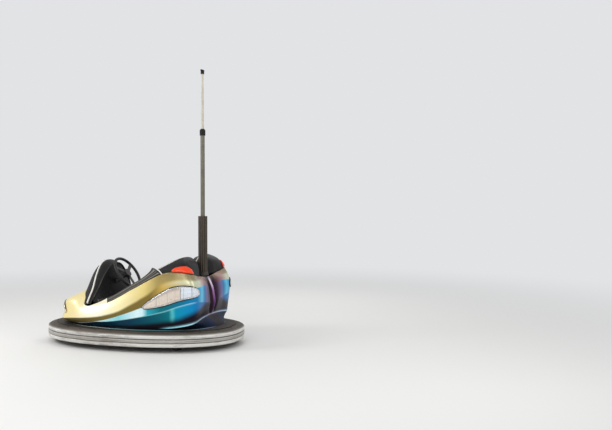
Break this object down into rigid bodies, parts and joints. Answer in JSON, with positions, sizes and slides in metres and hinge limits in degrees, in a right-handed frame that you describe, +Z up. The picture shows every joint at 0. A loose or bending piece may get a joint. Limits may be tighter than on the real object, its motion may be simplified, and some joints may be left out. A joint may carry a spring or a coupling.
{
  "type": "fairground bumper car",
  "caption": "Fairground bumper car with a rubber bumper ring, open two-seat cockpit, steered front drive wheel and a sprung ceiling pole.",
  "frame": {"origin": "on the floor under the middle of the rubber bumper", "axes": "-Y points to the nose, +X to the driver's left, +Z up"},
  "size_m": [1.16, 2, 2.64],
  "materials": {
    "body_paint": "colour-shift metallic gel coat, gold above and cyan to blue below, scuffed",
    "black_moulding": "grained black moulding",
    "upholstery": "black vinyl cover with white piping",
    "trim_rubber": "ribbed black rubber",
    "bumper_rubber": "worn grey rubber, dusty on top",
    "deck": "dusty grey-brown sheet",
    "floor_sheet": "worn sheet",
    "frame_steel": "black painted steel, chipped",
    "bright_steel": "turned and plated steel",
    "wheel_grip": "moulded black grip",
    "motor_paint": "dark grey painted casting",
    "cast_rim": "cast alloy",
    "tyre": "solid black tyre",
    "lens_clear": "clear lens over silver reflector",
    "lens_red": "red-orange lens",
    "pole_metal": "dull olive-grey tube",
    "sleeve_metal": "fluted sleeve, weathered brown-grey",
    "rod_cream": "cream fibreglass rod"
  },
  "bodies": {
    "car": {"chassis_frame": "frame_steel", "bumper_hoop": "frame_steel", "bumper_rubber": "bumper_rubber", "deck_plate": "deck", "floor_pan": "floor_sheet", "footwell_panel": "floor_sheet", "nose_panel": "body_paint", "side_panel_left": "body_paint", "side_panel_right": "body_paint", "tail_panel": "body_paint", "sill_trims": "trim_rubber", "front_cowl": "black_moulding", "dash_panel": "black_moulding", "rear_cowl": "black_moulding", "backrest_board": "black_moulding", "backrest_pad": "upholstery", "seat_base": "black_moulding", "seat_cushion": "upholstery", "headlamps": "lens_clear", "tail_lamps": "lens_clear", "cowl_lamps": "lens_red", "pedal": "bright_steel", "column_bracket": "frame_steel", "steering_column": "frame_steel", "bearing_ring": "bright_steel", "rear_axle": "bright_steel", "pole_tube": "pole_metal", "pole_boot": "trim_rubber", "pole_sleeve": "sleeve_metal", "pole_collar": "black_moulding"},
    "steering": {"steering_wheel": "wheel_grip", "steering_shaft": "bright_steel"},
    "drive_unit": {"turntable": "frame_steel", "drive_yoke": "frame_steel", "drive_motor": "motor_paint", "chain_case": "motor_paint", "drive_bridge": "frame_steel"},
    "drive_wheel": {"drive_rim": "cast_rim", "drive_tyre": "tyre"},
    "rear_wheel_left": {"rear_rim_left": "cast_rim", "rear_tyre_left": "tyre"},
    "rear_wheel_right": {"rear_rim_right": "cast_rim", "rear_tyre_right": "tyre"},
    "pole_slider": {"pole_rod": "rod_cream", "contact_head": "black_moulding"}
  },
  "joints": [
    {"name": "steering_turn", "type": "hinge", "parent": "car", "child": "steering", "pos_m": [0, -0.2005, 0.6637], "axis": [0, 0.8192, 0.5736], "continuous": true},
    {"name": "drive_unit_turn", "type": "hinge", "parent": "car", "child": "drive_unit", "pos_m": [0, -0.52, 0.25], "axis": [0, 0, 1], "continuous": true},
    {"name": "drive_wheel_spin", "type": "hinge", "parent": "drive_unit", "child": "drive_wheel", "pos_m": [0, -0.52, 0.11], "axis": [1, 0, 0], "continuous": true},
    {"name": "rear_wheel_left_spin", "type": "hinge", "parent": "car", "child": "rear_wheel_left", "pos_m": [0.35, 0.5, 0.088], "axis": [1, 0, 0], "continuous": true},
    {"name": "rear_wheel_right_spin", "type": "hinge", "parent": "car", "child": "rear_wheel_right", "pos_m": [-0.35, 0.5, 0.088], "axis": [1, 0, 0], "continuous": true},
    {"name": "pole_slide", "type": "slide", "parent": "car", "child": "pole_slider", "axis": [0, 0, 1], "range_m": [-0.12, 0], "stiffness_N_per_m": 400, "springref_m": 0.1}
  ],
  "couplings": [
    {"joint": "drive_unit_turn", "follows": "steering_turn", "ratio": 1}
  ]
}
